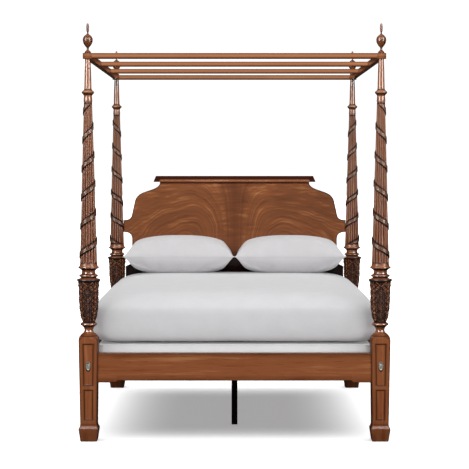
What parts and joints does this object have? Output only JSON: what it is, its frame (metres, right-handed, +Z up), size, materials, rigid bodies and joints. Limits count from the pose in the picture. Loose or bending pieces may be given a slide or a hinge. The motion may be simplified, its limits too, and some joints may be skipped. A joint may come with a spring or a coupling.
{
  "type": "miniature four poster bed",
  "caption": "Doll's house four poster bed: turned and carved posts, open flat tester, shaped headboard, square tapered legs, slatted base, and lift-off foundation, mattress and pillows.",
  "frame": {"origin": "on the floor at the middle of the bed's footprint", "axes": "+Z up, foot end facing -Y, headboard towards +Y, +X to the right seen from the foot end"},
  "size_m": [0.1448, 0.1884, 0.1915],
  "materials": {
    "mahogany": "satin",
    "figured_mahogany": "satin",
    "dark_edge": "satin",
    "slat_wood": "matte",
    "black_leg": "satin",
    "nickel": "antique",
    "steel": "satin",
    "foundation_cloth": "woven",
    "mattress_cloth": "woven",
    "pillow_cloth": "woven"
  },
  "bodies": {
    "frame": {"lower_post_front_left": "mahogany", "lower_post_front_right": "mahogany", "lower_post_rear_left": "mahogany", "lower_post_rear_right": "mahogany", "upper_post_front_left": "mahogany", "upper_post_front_right": "mahogany", "upper_post_rear_left": "mahogany", "upper_post_rear_right": "mahogany", "foot_rail": "mahogany", "head_rail": "mahogany", "side_rail_left": "mahogany", "side_rail_right": "mahogany", "headboard_panel": "figured_mahogany", "headboard_cap": "dark_edge", "cleat_left": "slat_wood", "cleat_right": "slat_wood", "slat_1": "slat_wood", "slat_2": "slat_wood", "slat_3": "slat_wood", "slat_4": "slat_wood", "slat_5": "slat_wood", "slat_6": "slat_wood", "slat_7": "slat_wood", "centre_leg_front": "black_leg", "centre_leg_middle": "black_leg", "centre_leg_rear": "black_leg", "cover_pins": "nickel", "bed_bolts": "steel", "barrel_nuts": "steel", "slat_screws": "steel", "cleat_screws": "steel", "leg_screws": "steel"},
    "tester": {"tester_rail_front": "mahogany", "tester_rail_rear": "mahogany", "tester_rail_left": "mahogany", "tester_rail_right": "mahogany", "tester_slat_front": "mahogany", "tester_slat_rear": "mahogany"},
    "finial_front_left": {"finial_front_left": "mahogany", "finial_pin_front_left": "steel"},
    "finial_front_right": {"finial_front_right": "mahogany", "finial_pin_front_right": "steel"},
    "finial_rear_left": {"finial_rear_left": "mahogany", "finial_pin_rear_left": "steel"},
    "finial_rear_right": {"finial_rear_right": "mahogany", "finial_pin_rear_right": "steel"},
    "bolt_cover_front_left": {"bolt_cover_front_left": "nickel"},
    "bolt_cover_front_right": {"bolt_cover_front_right": "nickel"},
    "bolt_cover_rear_left": {"bolt_cover_rear_left": "nickel"},
    "bolt_cover_rear_right": {"bolt_cover_rear_right": "nickel"},
    "foundation": {"foundation": "foundation_cloth"},
    "mattress": {"mattress": "mattress_cloth"},
    "pillow_left": {"pillow_left": "pillow_cloth"},
    "pillow_right": {"pillow_right": "pillow_cloth"}
  },
  "joints": [
    {"name": "tester_lift", "type": "slide", "parent": "frame", "child": "tester", "axis": [0, 0, 1], "range_m": [0, 0.02]},
    {"name": "finial_front_left_lift", "type": "slide", "parent": "tester", "child": "finial_front_left", "axis": [0, 0, 1], "range_m": [0, 0.014]},
    {"name": "finial_front_right_lift", "type": "slide", "parent": "tester", "child": "finial_front_right", "axis": [0, 0, 1], "range_m": [0, 0.014]},
    {"name": "finial_rear_left_lift", "type": "slide", "parent": "tester", "child": "finial_rear_left", "axis": [0, 0, 1], "range_m": [0, 0.014]},
    {"name": "finial_rear_right_lift", "type": "slide", "parent": "tester", "child": "finial_rear_right", "axis": [0, 0, 1], "range_m": [0, 0.014]},
    {"name": "cover_front_left_swing", "type": "hinge", "parent": "frame", "child": "bolt_cover_front_left", "pos_m": [-0.067, -0.0934, 0.0366], "axis": [0, 1, 0], "range_deg": [-110, 110]},
    {"name": "cover_front_right_swing", "type": "hinge", "parent": "frame", "child": "bolt_cover_front_right", "pos_m": [0.067, -0.0934, 0.0366], "axis": [0, 1, 0], "range_deg": [-110, 110]},
    {"name": "cover_rear_left_swing", "type": "hinge", "parent": "frame", "child": "bolt_cover_rear_left", "pos_m": [-0.067, 0.0934, 0.0366], "axis": [0, 1, 0], "range_deg": [-110, 110]},
    {"name": "cover_rear_right_swing", "type": "hinge", "parent": "frame", "child": "bolt_cover_rear_right", "pos_m": [0.067, 0.0934, 0.0366], "axis": [0, 1, 0], "range_deg": [-110, 110]},
    {"name": "foundation_lift", "type": "slide", "parent": "frame", "child": "foundation", "axis": [0, 0, 1], "range_m": [0, 0.025]},
    {"name": "mattress_lift", "type": "slide", "parent": "foundation", "child": "mattress", "axis": [0, 0, 1], "range_m": [0, 0.025]},
    {"name": "pillow_left_lift", "type": "slide", "parent": "mattress", "child": "pillow_left", "axis": [0, 0, 1], "range_m": [0, 0.03]},
    {"name": "pillow_right_lift", "type": "slide", "parent": "mattress", "child": "pillow_right", "axis": [0, 0, 1], "range_m": [0, 0.03]}
  ]
}
